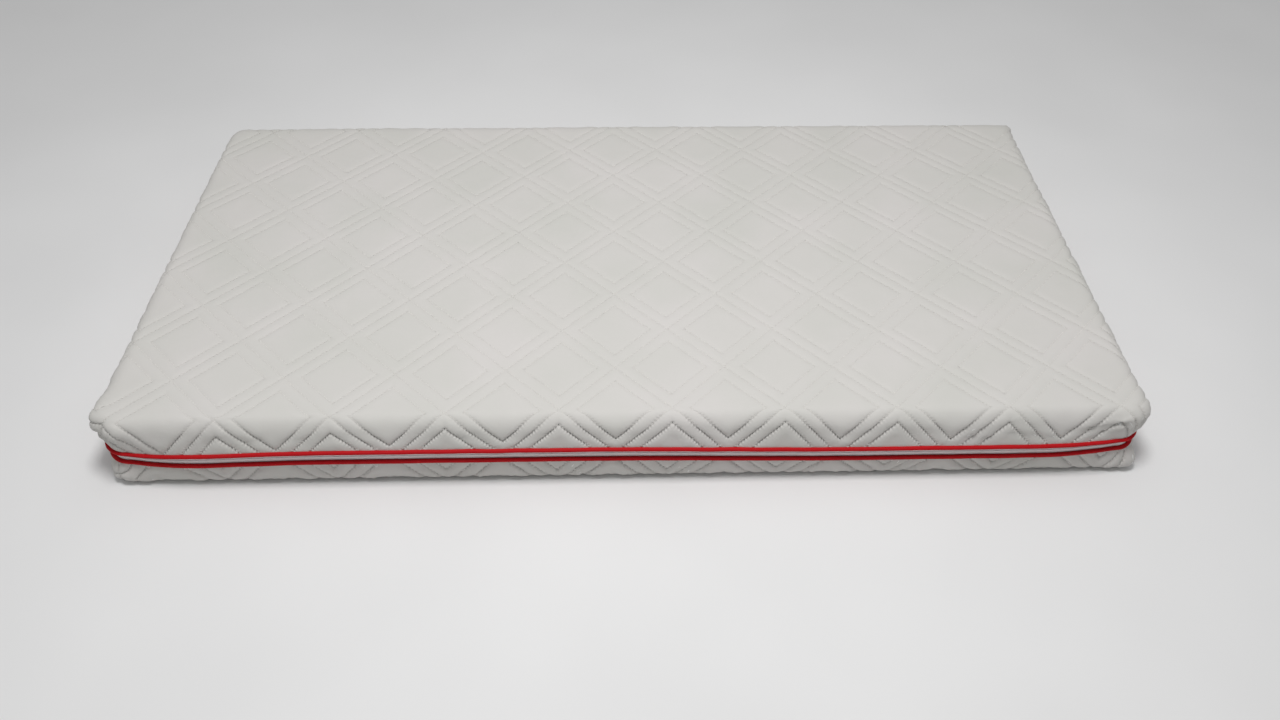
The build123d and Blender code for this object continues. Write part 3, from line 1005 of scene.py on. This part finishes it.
FACE = face_material()
WADDING = plain_cloth("polyester_wadding", rgb(244, 244, 242), rgb(222, 222, 220), 350, 0.6 * MM)
BACKING = plain_cloth("backing_nonwoven", rgb(228, 228, 225), rgb(206, 206, 204), 600, 0.2 * MM)
LINER = knitted_cloth("knitted_liner", rgb(240, 238, 232), rgb(214, 211, 202))
PIPING = ribbed_tape("piping_twill", rgb(208, 9, 24), rgb(160, 3, 13), 0.9 * MM, 0.0, 0.2)
PIPING_CORD = plain_cloth("piping_cord_cotton", rgb(236, 234, 226), rgb(206, 203, 193), 900)
TAPE = ribbed_tape("zip_tape_weave", rgb(252, 245, 246), rgb(228, 221, 222), 0.8 * MM)
COMFORT_FOAM = foam_material("comfort_foam", rgb(240, 232, 206), rgb(214, 204, 172))
SUPPORT_FOAM = foam_material("support_foam", rgb(205, 214, 226), rgb(176, 188, 204))
THREAD = thread_material("quilting_thread", rgb(232, 229, 224))
COIL = coil_material()
METAL = metal_material()


def dress(piece, material, body, slot, *nodes):
    """Material, body and the CAD nodes that a piece stands for. The slot is not used."""
    piece.data.materials.clear()
    piece.data.materials.append(material)
    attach(piece, body)
    if nodes:
        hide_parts(*nodes)
    return piece


def cover_half(half):
    name = half.name
    body = f"{name}_cover"

    face = cloth_piece(half, f"{name}_cover_face", True, half.quilting)
    dress(face, FACE, body, "face_cloth", f"{name}_cover_face_cloth")

    fill = cloth_slab(
        half,
        f"{name}_cover_wadding_fill",
        lambda x, y: half.quilting(x, y) - WADDING_TOP,
        lambda x, y: np.full_like(x, -WADDING_BACK),
    )
    dress(fill, WADDING, body, "wadding", f"{name}_cover_wadding")

    back = cloth_piece(
        half, f"{name}_cover_lining", False, lambda x, y: -LINING_DEPTH - 0.3 * MM * puff(x, y)
    )
    dress(back, BACKING, body, "backing_cloth", f"{name}_cover_backing")

    for kind, inner in (("diamond", False), ("square", True)):
        thread = stitches(half, f"{name}_{kind}_stitches", inner)
        dress(thread, THREAD, body, "face_cloth")

    wobble = {"wobble": 0.25 * MM, "seed": 5 + half.side}
    bead = band_sweep(f"{name}_piping_bead", piping_section(half.side), bead_line, **wobble)
    dress(bead, PIPING, body, "piping", f"{name}_piping_tape")
    core = round_section(half.side * BEAD_OFFSET, PIPING_CORE_RADIUS)
    cord = band_sweep(f"{name}_piping_core", core, bead_line, **wobble)
    dress(cord, PIPING_CORD, body, "piping_cord", f"{name}_piping_cord")
    tape = band_sweep(f"{name}_zip_tape_woven", tape_section(half.side), tape_depth, open_ring=True)
    dress(tape, TAPE, body, "zip_tape", f"{name}_zip_tape")
    teeth = coil(f"{name}_zip_teeth", half.side)
    dress(teeth, COIL, body, "zip_coil", f"{name}_zip_coil")


for half in HALVES:
    cover_half(half)


# ---------------------------------------------------------------- liner and zip end tab
def rounded_block(low, high, radius, step, fine_to=0.0):
    """Points, normals and quads of a closed block with rounded edges, meshed finely near the edges."""
    marks = []
    for start, stop in zip(low, high):
        ends = np.linspace(0, radius, 7)[:-1]
        if fine_to:
            ends = np.concatenate([ends, np.linspace(radius, fine_to, 6)[:-1]])
        inset = max(radius, fine_to)
        middle = np.linspace(start + inset, stop - inset, max(2, round((stop - start) / step)))
        marks.append(np.concatenate([start + ends, middle, stop - ends[::-1]]))
    points, quads, count = [], [], 0
    for axis in range(3):
        first, second = (axis + 1) % 3, (axis + 2) % 3
        u, v = np.meshgrid(marks[first], marks[second], indexing="ij")
        grid = grid_quads(u.shape)
        for level, order in ((low[axis], [1, 2, 3, 0]), (high[axis], [0, 3, 2, 1])):
            face = np.zeros((u.size, 3))
            face[:, first], face[:, second], face[:, axis] = u.ravel(), v.ravel(), level
            points.append(face)
            quads.append(grid[:, order] + count)
            count += u.size
    points, same = np.unique(np.round(np.concatenate(points), 7), axis=0, return_inverse=True)
    inner = np.clip(points, np.array(low) + radius, np.array(high) - radius)
    normals = points - inner
    normals /= np.linalg.norm(normals, axis=1, keepdims=True)
    return inner + radius * normals, normals, same.ravel()[np.concatenate(quads)]


def round_plan(points, normals, high, radius, corner):
    """Rounds the four upright edges of a centred block further, from a radius to the corner radius."""
    centre = high[:2] - corner
    inner = np.clip(points[:, :2], -centre, centre)
    outward = points[:, :2] - inner
    direction = outward / np.maximum(np.hypot(*outward.T), 1e-9)[:, None]
    beyond = np.maximum(np.abs(outward) - (corner - radius), 0)
    reach = np.minimum(np.abs(outward).max(axis=1), corner - radius) + np.hypot(*beyond.T)
    level = np.hypot(*normals[:, :2].T)
    points[:, :2] = inner + direction * reach[:, None]
    normals[:, :2] = direction * level[:, None]


def core_liner():
    """A knitted bag that is full of foam: crowned top and bottom, a seam round each edge, slack ripples.

    The foam is 1 mm inside the CAD liner's outer face, so the bag stays within that of it.
    """
    low, high = (np.array(corner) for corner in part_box("core_liner"))
    corner = CORNER_RADIUS - (LENGTH / 2 - high[0])
    radius = 6 * MM
    points, normals, quads = rounded_block(low, high, radius, 9 * MM, corner)
    round_plan(points, normals, high, radius, corner)
    x, y, z = points.T
    flat = np.abs(normals[:, 2])
    middle = np.clip(1 - (x / high[0]) ** 4, 0, 1) * np.clip(1 - (y / high[1]) ** 4, 0, 1)
    slack = 0.12 * waves(x + z, y, 0.09, 31) + 0.04 * waves(x, y + z, 0.03, 32)
    seam = np.exp(-(((flat - 0.55) / 0.16) ** 2))
    offset = (0.3 * middle * flat - 0.35 + slack - 0.3 * seam) * MM
    points = points + normals * offset[:, None]
    piece = make_mesh("core_liner_bag", points, quads)
    store_cloth(piece, x + z * np.abs(normals[:, 0]), y + z * np.abs(normals[:, 1]))
    dress(piece, LINER, "core", "liner", "core_liner")


def zip_end_tab():
    """A folded patch of tape over the ends of the zip, a little slack, sewn round its edge."""
    low, high = (np.array(corner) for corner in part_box("zip_end_tab"))
    points, normals, quads = rounded_block(low, high, 0.6 * MM, 1.0 * MM)
    x, y, z = points.T
    edge = np.minimum(np.minimum(x - low[0], high[0] - x), np.minimum(z - low[2], high[2] - z))
    sewn = np.exp(-(((edge - 1.6 * MM) / (0.5 * MM)) ** 2)) * np.abs(normals[:, 1])
    slack = 0.12 * MM * waves(x, z, 0.012, 41)
    points = points + normals * (-0.25 * MM * sewn)[:, None]
    points[:, 1] += slack
    piece = make_mesh("zip_end_patch", points, quads)
    store_cloth(piece, z, x / (24 * MM))
    dress(piece, TAPE, "lower_cover", "zip_tape", "zip_end_tab")


core_liner()
zip_end_tab()


# ---------------------------------------------------------------- CAD nodes that stay
def finish_node(node, material):
    piece = bpy.data.objects[node]
    piece.data.materials.clear()
    piece.data.materials.append(material)


for node in ("zip_slider_body", "zip_slider_bail", "zip_pull_tab", "upper_top_stop", "lower_top_stop",
             "zip_insertion_pin", "zip_retainer"):
    finish_node(node, METAL)
finish_node("comfort_foam_layer", COMFORT_FOAM)
finish_node("support_foam_layer", SUPPORT_FOAM)


# ---------------------------------------------------------------- stage, lights and camera
def stage():
    size = 30.0
    points = [(-size, -size, 0), (size, -size, 0), (size, size, 0), (-size, size, 0)]
    floor = make_mesh("floor", points, [[0, 1, 2, 3]], False)
    n = Nodes("pale_floor")
    cloud = n.noise(n.place(), 3, 2)
    color = n.mix(n.spread(cloud, 0.3, 0.7, 0, 1), rgb(228, 228, 228), rgb(223, 223, 223))
    floor.data.materials.append(n.finish(color, n.spread(cloud, 0, 1, 0.9, 0.95)))


def lights():
    """A soft lamp overhead, and a white world: bright overhead and dim, with a glow along the horizon."""
    lamp = bpy.data.lights.new("key", "AREA")
    lamp.shape = "DISK"
    lamp.size = 0.5
    lamp.energy = 20
    key = bpy.data.objects.new("key", lamp)
    bpy.context.scene.collection.objects.link(key)
    key.location = (0.0, -0.42, 1.8)
    key.rotation_euler = (math.atan2(0.32, 1.7), 0, 0)  # aimed at the top, 100 mm in front of its middle
    n = Nodes("studio", "worlds", "Background")
    n.put(n.shader.inputs["Color"], (1.0, 1.0, 1.0, 1.0))
    split = n.new("SeparateXYZ", Vector=n.new("TexCoord").outputs["Generated"])
    overhead = n.spread(split.outputs[2], 0.35, 1.0, 0.05, 0.75, "SMOOTHSTEP")
    horizon = n.spread(split.outputs[2], 0.05, 0.2, 0.28, 0.0, "SMOOTHSTEP")
    n.put(n.shader.inputs["Strength"], n.plus(overhead, horizon))
    bpy.context.scene.world = n.owner
    bpy.context.scene.view_settings.view_transform = "Standard"


def camera():
    """The camera that the quilting's crossings in the photograph give."""
    data = bpy.data.cameras.new("camera")
    data.sensor_width = 36.0
    data.lens = 27.974
    eye = bpy.data.objects.new("camera", data)
    bpy.context.scene.collection.objects.link(eye)
    eye.location = (-0.0126, -1.0211, 0.9423)
    eye.rotation_euler = Euler((math.radians(44.121), math.radians(-0.512), math.radians(-1.411)))
    bpy.context.scene.camera = eye


stage()
lights()
camera()
